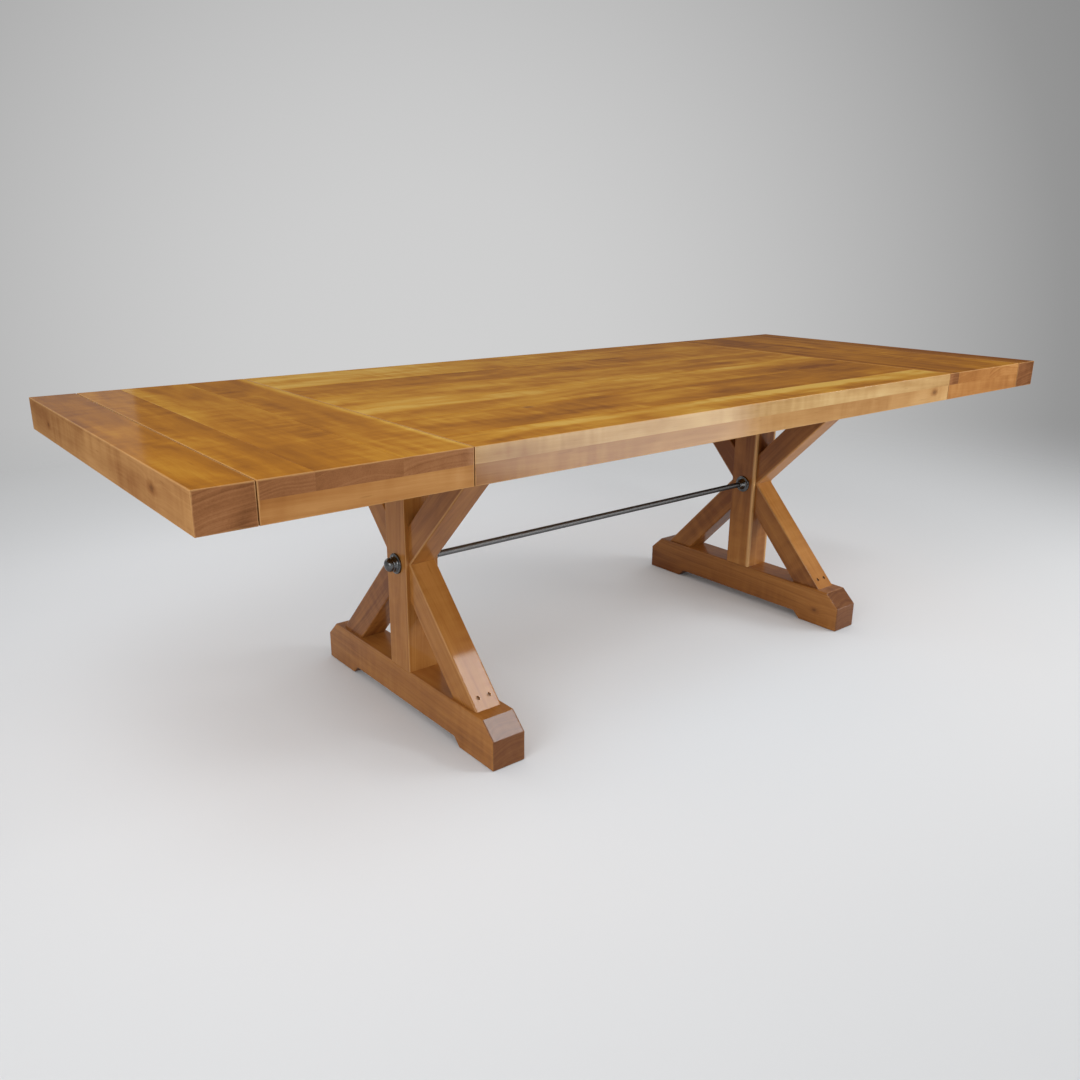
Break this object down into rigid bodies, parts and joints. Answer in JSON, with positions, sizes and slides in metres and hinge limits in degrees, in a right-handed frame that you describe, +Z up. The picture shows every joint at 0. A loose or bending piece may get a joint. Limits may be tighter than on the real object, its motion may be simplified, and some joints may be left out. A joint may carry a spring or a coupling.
{
  "type": "sawbuck trestle table",
  "caption": "Long planked dining table on crossed-brace trestles tied by a steel rod, with drop-in leaves carried on the runners of pull-out end boards.",
  "frame": {"origin": "on the floor under the middle of the table top", "axes": "+X along the table to the viewer's right when facing the front edge, +Y from the front edge to the back edge, +Z up"},
  "size_m": [2.596, 1.03, 0.762],
  "materials": {
    "top_wood": "amber stain under satin lacquer, long planks and cross planks",
    "edge_wood": "amber stain under satin lacquer, long grain",
    "leg_wood": "mid-brown stain under satin lacquer",
    "hidden_wood": "plain sanded wood with a thin coat of lacquer",
    "dark_metal": "dark oil-blackened steel with worn high spots",
    "screw_steel": "dull zinc-plated screws"
  },
  "bodies": {
    "table": {"main_plank_1": "top_wood", "main_plank_2": "top_wood", "main_plank_3": "top_wood", "main_plank_4": "top_wood", "main_plank_5": "top_wood", "main_plank_6": "top_wood", "front_edge_strip": "edge_wood", "back_edge_strip": "edge_wood", "left_end_strip": "hidden_wood", "left_batten": "hidden_wood", "left_runner_straps": "dark_metal", "left_foot": "leg_wood", "left_post": "leg_wood", "left_header": "hidden_wood", "left_upper_front_brace": "leg_wood", "left_upper_back_brace": "leg_wood", "left_lower_front_brace": "leg_wood", "left_lower_back_brace": "leg_wood", "right_end_strip": "hidden_wood", "right_batten": "hidden_wood", "right_runner_straps": "dark_metal", "right_foot": "leg_wood", "right_post": "leg_wood", "right_header": "hidden_wood", "right_upper_front_brace": "leg_wood", "right_upper_back_brace": "leg_wood", "right_lower_front_brace": "leg_wood", "right_lower_back_brace": "leg_wood", "tie_rod": "dark_metal", "rod_washers": "dark_metal", "rod_cap_nuts": "dark_metal", "rod_collars": "dark_metal", "top_screws": "screw_steel", "strap_screws": "screw_steel", "brace_screws": "screw_steel"},
    "left_leaf": {"left_leaf_plank_1": "top_wood", "left_leaf_plank_2": "top_wood", "left_leaf_plank_3": "top_wood", "left_leaf_front_strip": "edge_wood", "left_leaf_back_strip": "edge_wood", "left_leaf_batten": "hidden_wood"},
    "left_end": {"left_end_board": "top_wood", "left_end_under_board": "edge_wood", "left_front_runner": "hidden_wood", "left_back_runner": "hidden_wood", "left_runner_screws": "screw_steel", "left_stop_pegs": "hidden_wood"},
    "right_leaf": {"right_leaf_plank_1": "top_wood", "right_leaf_plank_2": "top_wood", "right_leaf_plank_3": "top_wood", "right_leaf_front_strip": "edge_wood", "right_leaf_back_strip": "edge_wood", "right_leaf_batten": "hidden_wood"},
    "right_end": {"right_end_board": "top_wood", "right_end_under_board": "edge_wood", "right_front_runner": "hidden_wood", "right_back_runner": "hidden_wood", "right_runner_screws": "screw_steel", "right_stop_pegs": "hidden_wood"}
  },
  "joints": [
    {"name": "left_end_slide", "type": "slide", "parent": "table", "child": "left_end", "axis": [-1, 0, 0], "range_m": [0, 0.06]},
    {"name": "right_end_slide", "type": "slide", "parent": "table", "child": "right_end", "axis": [1, 0, 0], "range_m": [0, 0.06]},
    {"name": "left_leaf_lift", "type": "slide", "parent": "table", "child": "left_leaf", "axis": [0, 0, 1], "range_m": [0, 0.3]},
    {"name": "right_leaf_lift", "type": "slide", "parent": "table", "child": "right_leaf", "axis": [0, 0, 1], "range_m": [0, 0.3]}
  ]
}
